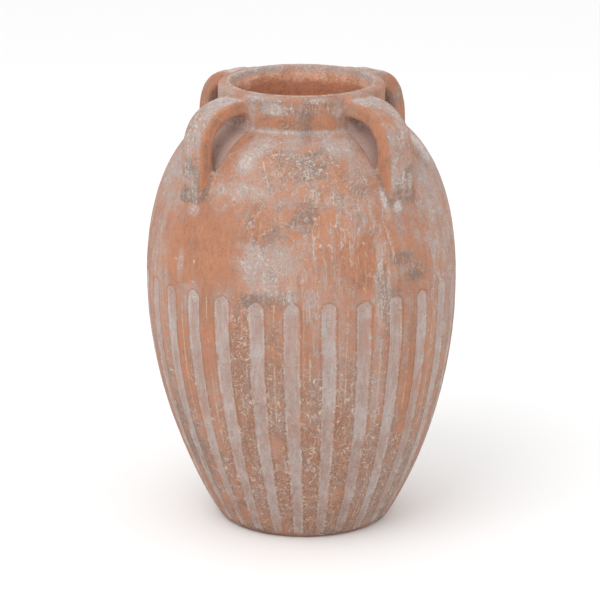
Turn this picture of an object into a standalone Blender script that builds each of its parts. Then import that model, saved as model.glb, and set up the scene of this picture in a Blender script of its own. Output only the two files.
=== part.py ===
"""Four-handled terracotta amphora, fluted below the belly.

The jar is modelled as the clay pieces that a potter forms separately and lutes together: a floor slab,
a fluted lower wall, a shoulder wall, a neck collar, a lip coil and four strap handles.
Metres, +Z up. The origin is the centre of the foot ring, on the surface that the jar stands on.
Azimuths are in degrees: 0 points along -Y and 90 along +X.
"""

from collections import namedtuple
from math import cos, hypot, pi, radians, sin

import bmesh
import bpy
from mathutils import Vector
from mathutils.geometry import interpolate_bezier

# Driving dimensions
HEIGHT = 0.460
FOOT_RADIUS = 0.0883
BELLY_RADIUS = 0.1592
BELLY_HEIGHT = 0.2555
NECK_RADIUS = 0.085
NECK_FOOT = 0.424
MOUTH_RADIUS = 0.070
WALL = 0.013
LUTE_GAP = 0.0003

# Outline of the body: one curve from the foot to the belly, and one from the belly to the neck.
FOOT_SLOPE = radians(32.7)
FOOT_PULL = 0.034
BELLY_PULL_DOWN = 0.128
BELLY_PULL_UP = 0.092
SHOULDER_SLOPE = radians(24)
SHOULDER_PULL = 0.049
OUTLINE_STEPS = 60

# Clay sections
SECTION_JOINT = 0.285
LIP_FOOT = 0.447
LIP_CREST_RADIUS = 0.0795
FOOT_ROUNDING = 0.003
FOOT_RING_INNER = 0.0745
FLOOR_RECESS = 0.0015
FLOOR_THICKNESS = 0.013

# Flutes
FLUTES = 28
FLUTE_PHASE = radians(44.0)
FLUTE_DEPTH = 0.0026
FLUTE_HALF_ANGLE = radians(2.75)
FLUTE_TOP = 0.2705
FLUTE_RUN_OUT = 0.012

# Handles: each strap's azimuth, the height of its top face at the neck, how far it rises before it
# bends down, the radius that its middle line reaches, and its width
Strap = namedtuple("Strap", "azimuth top rise reach width")
HANDLES = {
    "handle_front": Strap(azimuth=-3.5, top=0.4535, rise=0.0010, reach=0.1310, width=0.032),
    "handle_right": Strap(azimuth=91.5, top=0.4550, rise=0.0000, reach=0.1310, width=0.037),
    "handle_back": Strap(azimuth=181.5, top=0.4570, rise=0.0030, reach=0.1300, width=0.033),
    "handle_left": Strap(azimuth=271.5, top=0.4565, rise=0.0035, reach=0.1295, width=0.033),
}
STRAP_THICKNESS = 0.016
STRAP_START_RADIUS = 0.078
STRAP_BEND_RADIUS = 0.111
STRAP_BEND_DROP = 0.042
STRAP_TURN_DROP = 0.012
STRAP_ROOT_HEIGHT = 0.350
STRAP_CORNER_POWER = 3.5
STRAP_SECTION_POINTS = 12
STRAP_ROOT_FLARE = 0.18
STRAP_STEPS = 8

SEGMENTS = 72

TERRACOTTA = (0.50, 0.23, 0.14, 1.0)
INSIDE_TERRACOTTA = (0.40, 0.15, 0.09, 1.0)
CLAY_ROUGHNESS = 0.9


def clear_scene():
    for old in list(bpy.data.objects):
        bpy.data.objects.remove(old)


def clay_material(name, colour):
    material = bpy.data.materials.new(name)
    material.use_nodes = True
    shader = material.node_tree.nodes["Principled BSDF"]
    shader.inputs["Base Color"].default_value = colour
    shader.inputs["Roughness"].default_value = CLAY_ROUGHNESS
    shader.inputs["Metallic"].default_value = 0.0
    return material


def bezier(start, start_handle, end_handle, end, steps):
    """Points of a cubic curve in the (radius, height) plane."""
    knots = [Vector((radius, height)) for radius, height in (start, start_handle, end_handle, end)]
    return [tuple(point) for point in interpolate_bezier(*knots, steps + 1)]


def body_outline():
    """The outer surface from the foot to the neck, as (radius, height) points."""
    foot = (FOOT_RADIUS, 0.0)
    foot_handle = (FOOT_RADIUS + FOOT_PULL * sin(FOOT_SLOPE), FOOT_PULL * cos(FOOT_SLOPE))
    belly = (BELLY_RADIUS, BELLY_HEIGHT)
    below_belly = (BELLY_RADIUS, BELLY_HEIGHT - BELLY_PULL_DOWN)
    above_belly = (BELLY_RADIUS, BELLY_HEIGHT + BELLY_PULL_UP)
    neck = (NECK_RADIUS, NECK_FOOT)
    neck_handle = (
        NECK_RADIUS + SHOULDER_PULL * cos(SHOULDER_SLOPE),
        NECK_FOOT - SHOULDER_PULL * sin(SHOULDER_SLOPE),
    )
    lower = bezier(foot, foot_handle, below_belly, belly, OUTLINE_STEPS)
    upper = bezier(belly, above_belly, neck_handle, neck, OUTLINE_STEPS)
    return lower + upper[1:]


OUTLINE = body_outline()


def offset_outline(distance):
    """The body outline moved inwards, square to itself."""
    moved = []
    for i, (radius, height) in enumerate(OUTLINE):
        before = OUTLINE[max(i - 1, 0)]
        after = OUTLINE[min(i + 1, len(OUTLINE) - 1)]
        along = Vector((after[0] - before[0], after[1] - before[1])).normalized()
        moved.append((radius - distance * along.y, height + distance * along.x))
    return moved


def radius_at(curve, height):
    """Radius of an outline at a height, between the curve's points."""
    for (r0, z0), (r1, z1) in zip(curve, curve[1:]):
        if z0 <= height <= z1:
            return r0 + (r1 - r0) * (height - z0) / (z1 - z0)
    return curve[-1][0] if height > curve[-1][1] else curve[0][0]


def outer_rows(heights):
    return [(radius_at(OUTLINE, height), height) for height in heights]


def lip_outline(gap=0.0):
    """The lip from its outer foot over the crest: nearly upright outside, rounded over the top."""
    crest = (LIP_CREST_RADIUS, HEIGHT + gap)
    edge = NECK_RADIUS + gap
    return [
        (edge, LIP_FOOT),
        (edge, HEIGHT - 0.0060),
        (edge - 0.0009, HEIGHT - 0.0030 + gap),
        (edge - 0.0028, HEIGHT - 0.0009 + gap),
        crest,
    ]


def even_angles(count):
    return [2 * pi * i / count for i in range(count)]


def fluted_angles():
    """Five angles a flute: both edges, two on its floor, and the middle of the land beside it."""
    pitch = 2 * pi / FLUTES
    floor = 0.42 * FLUTE_HALF_ANGLE
    steps = (-FLUTE_HALF_ANGLE, -floor, floor, FLUTE_HALF_ANGLE, pitch / 2)
    return [FLUTE_PHASE + pitch * flute + step for flute in range(FLUTES) for step in steps]


def flute_depth(angle, radius, height):
    """How deep a flute is cut at a place: an arc across, a round top end, and a run-out at the foot."""
    pitch = 2 * pi / FLUTES
    off_centre = (angle - FLUTE_PHASE + pitch / 2) % pitch - pitch / 2
    half_width = radius * FLUTE_HALF_ANGLE
    across = radius * off_centre
    past_end = max(0.0, height - (FLUTE_TOP - half_width))
    share = hypot(across, past_end) / half_width
    run_out = min(1.0, height / FLUTE_RUN_OUT)
    return FLUTE_DEPTH * max(0.0, 1.0 - share * share) * run_out


def turned_solid(name, loop, angles, material, fluted_rows=0):
    """A ring turned from a closed (radius, height) loop, which runs down outside and up inside.

    The first fluted_rows points of the loop are cut by the flutes.
    """
    mesh = bpy.data.meshes.new(name)
    bm = bmesh.new()
    rings = []
    for index, (radius, height) in enumerate(loop):
        ring = []
        for angle in angles:
            cut = flute_depth(angle, radius, height) if index < fluted_rows else 0.0
            place = (radius - cut) * sin(angle), -(radius - cut) * cos(angle), height
            ring.append(bm.verts.new(place))
        rings.append(ring)
    count = len(angles)
    for ring, following in zip(rings, rings[1:] + rings[:1]):
        for i in range(count):
            j = (i + 1) % count
            bm.faces.new((ring[i], following[i], following[j], ring[j]))
    bmesh.ops.recalc_face_normals(bm, faces=bm.faces)
    return finish_mesh(name, mesh, bm, material)


def turned_plug(name, outline, angles, material):
    """A solid turned from an open outline, closed by flat discs at its two ends."""
    mesh = bpy.data.meshes.new(name)
    bm = bmesh.new()
    rings = [
        [bm.verts.new((radius * sin(a), -radius * cos(a), height)) for a in angles]
        for radius, height in outline
    ]
    count = len(angles)
    for ring, following in zip(rings, rings[1:]):
        for i in range(count):
            j = (i + 1) % count
            bm.faces.new((ring[i], following[i], following[j], ring[j]))
    bm.faces.new(rings[0])
    bm.faces.new(reversed(rings[-1]))
    bmesh.ops.recalc_face_normals(bm, faces=bm.faces)
    return finish_mesh(name, mesh, bm, material)


def finish_mesh(name, mesh, bm, material):
    bm.to_mesh(mesh)
    bm.free()
    mesh.materials.append(material)
    mesh.shade_smooth()
    mesh.set_sharp_from_angle(angle=radians(35))
    made = bpy.data.objects.new(name, mesh)
    bpy.context.scene.collection.objects.link(made)
    return made


def make_lower_wall(material):
    """The fluted wall from the foot ring to the section joint."""
    heights = [0.285, 0.2715, 0.2690, 0.2640, 0.2555, 0.225, 0.190, 0.150, 0.110, 0.072, 0.036, 0.012]
    outer = outer_rows(heights) + [(radius_at(OUTLINE, FOOT_ROUNDING), FOOT_ROUNDING)]
    foot = [(FOOT_RADIUS - FOOT_ROUNDING, 0.0), (FOOT_RING_INNER, 0.0)]
    inside = offset_outline(WALL)
    floor_top = FLOOR_RECESS + FLOOR_THICKNESS
    seat = [(FOOT_RING_INNER, floor_top)]
    inner_heights = [0.032, 0.075, 0.130, 0.200, SECTION_JOINT]
    inner = [(radius_at(inside, height), height) for height in inner_heights]
    loop = outer + foot + seat + inner
    return turned_solid("lower_wall", loop, fluted_angles(), material, fluted_rows=len(outer))


def make_shoulder_wall(material):
    """The plain upper wall, which closes in from the section joint to the foot of the neck."""
    lowest = SECTION_JOINT + LUTE_GAP
    outer = outer_rows([0.4155, 0.405, 0.391, 0.372, 0.345, 0.315, lowest])
    inside = offset_outline(WALL)
    inner = [(radius_at(inside, height), height) for height in (lowest, 0.320, 0.350, 0.375, 0.393)]
    throat = [(MOUTH_RADIUS + 0.004, 0.4105), (MOUTH_RADIUS, NECK_FOOT)]
    loop = [(NECK_RADIUS, NECK_FOOT)] + outer + inner + throat
    return turned_solid("shoulder_wall", loop, even_angles(SEGMENTS), material)


def make_neck_collar(material):
    low, high = NECK_FOOT + LUTE_GAP, LIP_FOOT - LUTE_GAP
    loop = [(NECK_RADIUS, high), (NECK_RADIUS, low), (MOUTH_RADIUS, low), (MOUTH_RADIUS, high)]
    return turned_solid("neck_collar", loop, even_angles(SEGMENTS), material)


def make_lip_coil(material):
    outer = list(reversed(lip_outline()))
    inner = [
        (MOUTH_RADIUS, LIP_FOOT),
        (MOUTH_RADIUS, HEIGHT - 0.0065),
        (MOUTH_RADIUS + 0.0018, HEIGHT - 0.0030),
        (MOUTH_RADIUS + 0.0048, HEIGHT - 0.0008),
    ]
    return turned_solid("lip_coil", outer + inner, even_angles(SEGMENTS), material)


def make_floor_slab(material):
    radius = FOOT_RING_INNER - LUTE_GAP
    top = FLOOR_RECESS + FLOOR_THICKNESS
    outline = [(radius, FLOOR_RECESS), (radius, top)]
    return turned_plug("floor_slab", outline, even_angles(FLUTES * 2), material)


def make_root_cutter():
    """The outside of the jar, grown by the luting gap: it trims the handles' roots."""
    wall = [(radius + LUTE_GAP, height + LUTE_GAP) for radius, height in outer_rows(
        [0.300, 0.315, 0.345, 0.372, 0.391, 0.405, 0.4155])]
    neck = [(NECK_RADIUS + LUTE_GAP, NECK_FOOT + LUTE_GAP)]
    outline = wall + neck + lip_outline(LUTE_GAP)
    cutter = turned_plug("root_cutter", outline, even_angles(SEGMENTS), None)
    cutter.hide_render = True
    cutter.display_type = "WIRE"
    return cutter


def strap_path(strap):
    """The strap's middle line in (radius, height): out from the neck, over, and down to the shoulder."""
    level = strap.top - STRAP_THICKNESS / 2
    start = (STRAP_START_RADIUS, level)
    bend = (STRAP_BEND_RADIUS, level + strap.rise)
    turn = (strap.reach, level + strap.rise - STRAP_TURN_DROP)
    upright = (strap.reach, level - STRAP_BEND_DROP)
    over = bezier(start, bend, turn, upright, STRAP_STEPS)
    steps_down = STRAP_STEPS // 2
    fall = (upright[1] - STRAP_ROOT_HEIGHT) / steps_down
    down = [(strap.reach, upright[1] - fall * (i + 1)) for i in range(steps_down)]
    return over + down


def strap_section(width, thickness):
    """A rectangle with well-rounded corners, as (across, outwards) points."""
    points = []
    for i in range(STRAP_SECTION_POINTS):
        angle = 2 * pi * (i + 0.5) / STRAP_SECTION_POINTS
        c, s = cos(angle), sin(angle)
        grow = (abs(c) ** STRAP_CORNER_POWER + abs(s) ** STRAP_CORNER_POWER) ** (-1 / STRAP_CORNER_POWER)
        points.append((c * grow * width / 2, s * grow * thickness / 2))
    return points


def make_handle(name, strap, cutter, material):
    """A strap swept along its path, in the upright plane through the jar's axis, with both roots trimmed."""
    path = strap_path(strap)
    mesh = bpy.data.meshes.new(name)
    bm = bmesh.new()
    rings = []
    for i, (radius, height) in enumerate(path):
        before, after = path[max(i - 1, 0)], path[min(i + 1, len(path) - 1)]
        along = Vector((after[0] - before[0], after[1] - before[1])).normalized()
        to_end = abs(2 * i / (len(path) - 1) - 1)
        flare = 1 + STRAP_ROOT_FLARE * to_end**4
        ring = []
        for across, outwards in strap_section(strap.width * flare, STRAP_THICKNESS * flare):
            ring.append(bm.verts.new((across, -(radius - outwards * along.y), height + outwards * along.x)))
        rings.append(ring)
    for ring, following in zip(rings, rings[1:]):
        for i in range(STRAP_SECTION_POINTS):
            j = (i + 1) % STRAP_SECTION_POINTS
            bm.faces.new((ring[i], ring[j], following[j], following[i]))
    bm.faces.new(rings[0])
    bm.faces.new(rings[-1])
    bmesh.ops.recalc_face_normals(bm, faces=bm.faces)
    handle = finish_mesh(name, mesh, bm, material)
    handle.rotation_euler.z = radians(strap.azimuth)
    trim = handle.modifiers.new("trim_roots", "BOOLEAN")
    trim.operation = "DIFFERENCE"
    trim.solver = "EXACT"
    trim.object = cutter
    return handle


def main():
    clear_scene()
    outside = clay_material("terracotta", TERRACOTTA)
    inside = clay_material("inside_terracotta", INSIDE_TERRACOTTA)
    jar = bpy.data.objects.new("amphora", None)
    bpy.context.scene.collection.objects.link(jar)
    pieces = [
        make_floor_slab(inside),
        make_lower_wall(outside),
        make_shoulder_wall(outside),
        make_neck_collar(outside),
        make_lip_coil(outside),
    ]
    cutter = make_root_cutter()
    for name, strap in HANDLES.items():
        pieces.append(make_handle(name, strap, cutter, outside))
    for piece in pieces + [cutter]:
        piece.parent = jar


main()
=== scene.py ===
"""Looks of the four-handled terracotta amphora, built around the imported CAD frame.

Each CAD node is replaced by one finely modelled piece of the same clay section. Surface masks, such as where
the lime wash lies, are worked out point by point, kept as attributes, and broken up by the material's nodes.
Metres, +Z up. Azimuths are in degrees: 0 points along -Y and 90 along +X.
"""

from collections import namedtuple
from itertools import product
from math import cos, pi, radians, sin

import bpy
import numpy as np
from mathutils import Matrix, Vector
from mathutils.geometry import interpolate_bezier


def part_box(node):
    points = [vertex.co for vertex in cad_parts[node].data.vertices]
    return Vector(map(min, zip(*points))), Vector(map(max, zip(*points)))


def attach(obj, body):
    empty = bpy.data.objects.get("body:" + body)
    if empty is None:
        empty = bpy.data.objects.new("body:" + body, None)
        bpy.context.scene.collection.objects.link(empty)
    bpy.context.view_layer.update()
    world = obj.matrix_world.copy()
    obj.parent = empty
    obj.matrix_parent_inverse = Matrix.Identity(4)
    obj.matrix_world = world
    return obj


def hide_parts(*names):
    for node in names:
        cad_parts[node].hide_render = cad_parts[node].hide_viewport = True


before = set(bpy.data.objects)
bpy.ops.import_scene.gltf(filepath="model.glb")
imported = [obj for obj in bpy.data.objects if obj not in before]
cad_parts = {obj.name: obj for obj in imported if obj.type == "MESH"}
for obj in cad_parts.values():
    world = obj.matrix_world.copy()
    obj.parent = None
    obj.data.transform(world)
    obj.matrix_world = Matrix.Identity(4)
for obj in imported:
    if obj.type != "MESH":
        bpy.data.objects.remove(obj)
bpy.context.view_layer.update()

# Sizes taken from the frame
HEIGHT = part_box("lip_coil")[1].z
NECK_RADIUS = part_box("neck_collar")[1].x
BELLY_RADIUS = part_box("lower_wall")[1].x
SECTION_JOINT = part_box("lower_wall")[1].z
NECK_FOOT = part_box("shoulder_wall")[1].z
LIP_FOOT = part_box("lip_coil")[0].z
FLOOR_LOW, FLOOR_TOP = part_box("floor_slab")[0].z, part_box("floor_slab")[1].z
FLOOR_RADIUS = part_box("floor_slab")[1].x

# The body's outline: one curve from the foot to the belly, and one from the belly to the neck
FOOT_RADIUS = 0.0883
BELLY_HEIGHT = 0.2555
FOOT_SLOPE = radians(32.7)
FOOT_PULL = 0.034
BELLY_PULL_DOWN = 0.128
BELLY_PULL_UP = 0.092
SHOULDER_SLOPE = radians(24)
SHOULDER_PULL = 0.049
MOUTH_RADIUS = 0.070
WALL = 0.013
NECK_CREASE = 0.0035
FOOT_LEAN = 0.0026
LEAN_AZIMUTH = 137.0
LEAN_TOP = 0.27
LIP_CREST = (NECK_RADIUS - 0.0102, HEIGHT)

# Flutes
FLUTES = 28
FLUTE_PHASE = 44.0
FLUTE_DEPTH = 0.0027
FLUTE_HALF_ANGLE = 2.56
FLUTE_TOP = 0.2705
FLUTE_RUN_OUT = 0.014

# Handles, close to the CAD straps, with how much wash is left on their outer face and on their flanks
Strap = namedtuple("Strap", "azimuth top rise reach width thick face_wash flank_wash")
HANDLES = {
    "handle_front": Strap(-3.5, 0.4538, 0.0018, 0.1335, 0.033, 0.0165, 0.60, -1.35),
    "handle_right": Strap(91.5, 0.4552, 0.0000, 0.1312, 0.037, 0.0190, 0.35, -1.25),
    "handle_back": Strap(181.5, 0.4572, 0.0026, 0.1285, 0.034, 0.0190, 0.45, -0.15),
    "handle_left": Strap(271.5, 0.4568, 0.0030, 0.1295, 0.033, 0.0165, 0.60, -0.85),
}
STRAP_START_RADIUS = 0.078
STRAP_BEND_RADIUS = 0.111
STRAP_BEND_DROP = 0.042
STRAP_TURN_DROP = 0.012
STRAP_ROOT_HEIGHT = 0.347
STRAP_ROOT_TUCK = 0.012
STRAP_CORNER_POWER = 4.4
STRAP_FILLET = 0.0042
STRAP_ROOT_GROWTH = 0.24
STRAP_DEPTH_IN_WALL = 0.005
SHELTER_FOOT = 0.366
SHELTER_HALF_WIDTH = 0.0190

# Fineness of the meshes and of the table of distances to the body
COLUMNS = 672
STRAP_STEPS = 190
STRAP_AROUND = 150
TABLE_STEP = 0.0005

# Camera
CAMERA_AZIMUTH = 47.0
CAMERA_ELEVATION = 16.5
CAMERA_DISTANCE = 2.989
CAMERA_AIM_HEIGHT = 0.2278
CAMERA_SIDESTEP = -0.00155
CAMERA_LENS = 174.0


# ---- Noise and small helpers ----


def lattice_noise(points, size, seed):
    """Smooth noise from -1 to 1 whose features are about size metres across."""
    cell = points / size + seed * 7.31
    base = np.floor(cell).astype(np.int64)
    part = cell - base
    ease = part * part * (3 - 2 * part)
    total = np.zeros(len(points))
    for corner in product((0, 1), repeat=3):
        key = (base + corner) @ np.array([73856093, 19349663, 83492791]) + seed * 912931
        key = (key ^ (key >> 13)) * 1274126177 & 0xFFFFFFFF
        value = ((key ^ (key >> 16)) & 0xFFFF) / 32767.5 - 1
        weight = np.where(corner, ease, 1 - ease).prod(axis=1)
        total += value * weight
    return total


def fractal(points, size, seed, octaves=3):
    """A few octaves of lattice noise."""
    total = np.zeros(len(points))
    for octave in range(octaves):
        total += lattice_noise(points, size / 2**octave, seed + octave) / 2**octave
    return total / 1.5


def smooth(low, high, value):
    share = np.clip((value - low) / (high - low), 0, 1)
    return share * share * (3 - 2 * share)


def turn_between(angle, centre):
    """Signed difference of two azimuths in degrees, from -180 to 180."""
    return (angle - centre + 180) % 360 - 180


def bezier(start, start_handle, end_handle, end, steps):
    knots = [Vector(point) for point in (start, start_handle, end_handle, end)]
    return np.array([tuple(point) for point in interpolate_bezier(*knots, steps + 1)])


# ---- The body's surface ----


def body_outline():
    """The outer surface from foot to lip crest, as (radius, height) points."""
    foot_handle = (FOOT_RADIUS + FOOT_PULL * sin(FOOT_SLOPE), FOOT_PULL * cos(FOOT_SLOPE))
    belly = (BELLY_RADIUS, BELLY_HEIGHT)
    below_belly = (BELLY_RADIUS, BELLY_HEIGHT - BELLY_PULL_DOWN)
    above_belly = (BELLY_RADIUS, BELLY_HEIGHT + BELLY_PULL_UP)
    into_neck = (cos(SHOULDER_SLOPE), -sin(SHOULDER_SLOPE))
    neck = (NECK_RADIUS, NECK_FOOT)
    neck_handle = (neck[0] + SHOULDER_PULL * into_neck[0], neck[1] + SHOULDER_PULL * into_neck[1])
    lower = bezier((FOOT_RADIUS, 0), foot_handle, below_belly, belly, 160)
    upper = bezier(belly, above_belly, neck_handle, neck, 160)
    shoulder_end = (neck[0] + NECK_CREASE * into_neck[0], neck[1] + NECK_CREASE * into_neck[1])
    upper = upper[upper[:, 0] > shoulder_end[0]]
    collar = (NECK_RADIUS, NECK_FOOT + NECK_CREASE)
    crease = bezier(shoulder_end, neck, neck, collar, 10)
    lip_start = (NECK_RADIUS, HEIGHT - 0.0064)
    flat_top = (NECK_RADIUS - 0.0030, HEIGHT)
    lip = bezier(lip_start, (NECK_RADIUS, HEIGHT - 0.0010), flat_top, LIP_CREST, 18)
    return np.vstack([lower, upper[1:], crease, lip])


OUTLINE = body_outline()


def along_outline(outline):
    """Distance along an outline to each of its points."""
    return np.concatenate([[0], np.cumsum(np.hypot(*np.diff(outline, axis=0).T))])


OUTLINE_STEP = 5e-4
OUTLINE_RUN = along_outline(OUTLINE)
CREST_RUN = OUTLINE_RUN[-1]


def outline_at(run):
    """Points and outward normals of the outline at distances along it."""

    def at(distance):
        """Points at distances along the outline."""
        return np.stack([np.interp(distance, OUTLINE_RUN, OUTLINE[:, i]) for i in (0, 1)], axis=-1)

    point = at(run)
    along = at(run + OUTLINE_STEP) - at(run - OUTLINE_STEP)
    along /= np.linalg.norm(along, axis=-1, keepdims=True)
    return point, np.stack([along[:, 1], -along[:, 0]], axis=-1)


def run_at_height(height):
    return float(np.interp(height, OUTLINE[:, 1], OUTLINE_RUN))


def place(radius, angle, height):
    """World points from radius, azimuth in degrees and height."""
    turn = np.radians(angle)
    return np.stack([radius * np.sin(turn), -radius * np.cos(turn), height + 0 * turn], axis=-1)


def azimuth_height_radius(points):
    """Azimuth in degrees, height and radius of world points."""
    angle = np.degrees(np.arctan2(points[:, 0], -points[:, 1]))
    return angle, points[:, 2], np.hypot(points[:, 0], points[:, 1])


def flute_layout():
    """Centre, half angle, top height and depth of each flute, a little uneven as cut by hand."""
    rng = np.random.default_rng(11)
    centre = FLUTE_PHASE + 360 / FLUTES * np.arange(FLUTES)
    centre = centre + 0.9 * np.sin(2 * np.radians(centre - 60)) + rng.uniform(-0.25, 0.25, FLUTES)
    half = FLUTE_HALF_ANGLE * (1 + rng.uniform(-0.06, 0.06, FLUTES))
    top = FLUTE_TOP + rng.uniform(-0.0025, 0.0012, FLUTES)
    depth = FLUTE_DEPTH * (1 + rng.uniform(-0.15, 0.1, FLUTES))
    return centre, half, top, depth


FLUTE_CENTRE, FLUTE_HALF, FLUTE_TOPS, FLUTE_DEPTHS = flute_layout()


def flute_relief(angle, height, radius):
    """Cut depth, distance inside the nearest flute's edge, and distance from the middle of the land."""
    inside = np.full(len(angle), -1.0)
    cut = np.zeros(len(angle))
    for i in range(FLUTES):
        sway = 0.16 * np.sin(height / 0.031 + 2.1 * i) + 0.10 * np.sin(height / 0.012 + 4.7 * i)
        across = np.radians(turn_between(angle, FLUTE_CENTRE[i] + sway)) * radius
        widen = 1 - 0.07 * np.clip(1 - height / 0.12, 0, 1)
        half = np.radians(FLUTE_HALF[i] * widen) * radius
        past_end = np.clip(height - (FLUTE_TOPS[i] - half), 0, None)
        edge = half - np.hypot(across, past_end)
        nearer = edge > inside
        inside = np.where(nearer, edge, inside)
        share = np.clip(1 - edge / half, 0, 1)
        cut = np.where(nearer & (edge > 0), FLUTE_DEPTHS[i] * (1 - share**2), cut)
    burr = 0.00022 * np.exp(-(((inside + 0.0008) / 0.0009) ** 2))
    fade = smooth(0.001, FLUTE_RUN_OUT, height)
    limed = np.minimum(inside, np.clip(FLUTE_TOP - height, 0, None) * 0.16 + 0.0002)
    return cut * fade - burr * fade, np.where(height < 0.004, -1.0, limed)


def land_line(angle, height, radius):
    """Distance from the thin vertical line scored down the middle of a land, and far where it is worn off."""
    rng = np.random.default_rng(5)
    nearest = np.full(len(angle), 1.0)
    for i in range(FLUTES):
        middle = (FLUTE_CENTRE[i] + FLUTE_CENTRE[(i + 1) % FLUTES] + (360 if i == FLUTES - 1 else 0)) / 2
        wander = 0.25 * np.sin(height / 0.05 + 1.7 * i)
        low, high = 0.10 + 0.11 * rng.random(), 0.266 + 0.003 * rng.random()
        worn = np.clip(low - height, 0, None) + np.clip(height - high, 0, None)
        distance = np.abs(np.radians(turn_between(angle, middle + wander)) * radius) + worn
        nearest = np.minimum(nearest, distance)
    return nearest


Patch = namedtuple("Patch", "azimuth height across tall amount")


def patches(*rows):
    """Patches from rows of azimuth in degrees, height and two half sizes in millimetres, and amount."""
    return [Patch(azimuth, *(size / 1000 for size in sizes), amount) for azimuth, *sizes, amount in rows]


def patch_field(group, angle, height, radius, points, seed):
    """Sum of soft-edged patches, whose outlines are bent by noise. across and tall are half sizes."""
    total = np.zeros(len(angle))
    bend = 0.50 * fractal(points, 0.026, seed, octaves=4)
    for patch in group:
        beside = np.radians(turn_between(angle, patch.azimuth)) * radius / patch.across
        above = (height - patch.height) / patch.tall
        far = np.hypot(beside, above) + bend
        total += patch.amount * smooth(1.45, 0.45, far)
    return total


# Where the lime wash is thick (+) or rubbed away (-)
WASH_PATCHES = patches(
    (24, 412, 12, 9, 0.8),
    (19.5, 401, 12, 13, 1.0),
    (10, 404, 7, 17, -0.9),
    (35, 417, 30, 5, 0.5),
    (52, 398, 24, 16, 0.55),
    (69, 414, 15, 8, 0.9),
    (73, 392, 16, 14, 0.35),
    (82.5, 363, 4.5, 14, 1.7),
    (88, 357, 6, 7, 1.6),
    (95, 366, 5, 4, 1.3),
    (0, 350, 8.5, 10, 1.3),
    (-7, 362, 14, 5, 0.8),
    (4, 314, 46, 44, -1.35),
    (-3, 297, 6, 18, 1.9),
    (34, 298, 38, 23, 0.75),
    (26, 316, 20, 12, 0.5),
    (42, 275, 26, 16, 0.5),
    (30, 350, 30, 18, -0.35),
    (20, 374, 24, 8, 0.6),
    (36, 366, 16, 12, 0.25),
    (29, 448, 13, 7, 1.3),
    (58, 456, 16, 3.5, 0.9),
    (41, 455.5, 10, 3, -0.9),
    (13, 456.5, 12, 3, 0.8),
    (12, 440, 4, 16, 0.9),
    (71, 444, 6, 10, 0.7),
    (30, 434, 20, 6, -1.0),
    (58, 434, 18, 6, -1.0),
    (56, 330, 20, 34, -0.45),
    (70.5, 303, 11, 26, -1.9),
    (62, 320, 12, 30, -0.2),
    (77.5, 276, 8, 45, 0.9),
    (92, 330, 22, 24, -0.2),
    (112, 330, 40, 70, 0.55),
    (-28, 370, 40, 30, 0.3),
    (91.5, 170, 10, 60, -0.9),
    (75.5, 175, 10, 55, 0.6),
    (11, 215, 12, 60, -0.7),
    (-2.5, 215, 12, 60, -0.6),
    (52, 85, 30, 75, -0.3),
    (95, 50, 45, 45, 0.6),
    (160, 320, 50, 40, -0.9),
    (215, 345, 45, 35, 0.8),
    (250, 305, 40, 40, -0.9),
    (300, 325, 40, 35, 0.7),
    (140, 390, 30, 20, 0.8),
    (230, 395, 25, 18, -0.7),
)

# Where the brush left light vertical streaks and scratches
STREAK_PATCHES = patches(
    (62, 335, 40, 55, 1.0),
    (78, 275, 18, 45, 0.8),
    (102, 260, 30, 70, 0.6),
    (-8, 385, 40, 30, 0.5),
    (30, 400, 40, 25, 0.4),
    (46, 260, 20, 50, 0.5),
    (150, 330, 50, 50, 0.9),
    (240, 340, 60, 60, 0.9),
    (320, 300, 50, 60, 0.8),
)

# Grey-brown soot and dirt
SOOT_PATCHES = patches(
    (86, 305, 16, 11, 0.7),
    (93, 288, 22, 12, 0.55),
    (83, 276, 10, 24, 0.4),
    (45, 436, 50, 10, 0.35),
    (38, 273, 30, 12, 0.45),
    (50, 434, 7, 22, 0.55),
    (51, 398, 16, 16, 0.6),
    (28, 452, 24, 5, 0.4),
    (48, 352, 14, 17, 0.6),
    (33, 330, 30, 14, 0.14),
    (4, 314, 40, 36, -0.5),
    (70, 455, 12, 6, 0.4),
    (49, 456.5, 7, 2.5, 0.55),
    (-14, 120, 30, 60, 0.6),
    (0, 60, 40, 45, 0.35),
    (33, 270, 20, 10, 0.4),
    (92, 225, 10, 30, 0.3),
    (96, 50, 45, 45, 0.35),
    (118, 395, 14, 20, 0.6),
    (175, 280, 30, 16, 0.7),
    (265, 150, 40, 50, 0.5),
    (320, 280, 22, 20, 0.6),
)

# Fine chalky squiggles, where the wash dried and crazed
CRAZED_PATCHES = patches(
    (4, 314, 48, 44, -1.0),
    (-4, 215, 14, 60, -0.5),
    (11, 215, 12, 60, -0.6),
    (91, 170, 10, 60, -0.6),
    (56, 225, 10, 50, -0.4),
    (70.5, 303, 11, 26, -0.8),
    (46, 155, 10, 14, -0.6),
    (60, 60, 12, 30, -0.6),
    (34, 110, 12, 20, -0.6),
    (25, 215, 12, 55, 0.70),
    (37, 205, 12, 60, 0.75),
    (48, 110, 45, 90, 0.7),
    (65, 130, 18, 80, 0.7),
    (20, 80, 40, 75, 0.6),
    (85, 70, 45, 70, 0.6),
    (52, 397, 26, 18, 0.60),
    (32, 345, 28, 22, 0.35),
    (20, 402, 13, 14, -0.9),
    (42, 452, 50, 8, 0.6),
    (32, 400, 26, 12, 0.5),
    (70, 385, 22, 18, 0.5),
    (77.5, 272, 8, 45, 0.9),
    (34, 285, 34, 22, 0.30),
    (150, 200, 60, 60, 0.5),
    (205, 110, 70, 90, 0.5),
    (290, 200, 60, 70, 0.5),
    (240, 385, 30, 20, 0.8),
)

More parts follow.
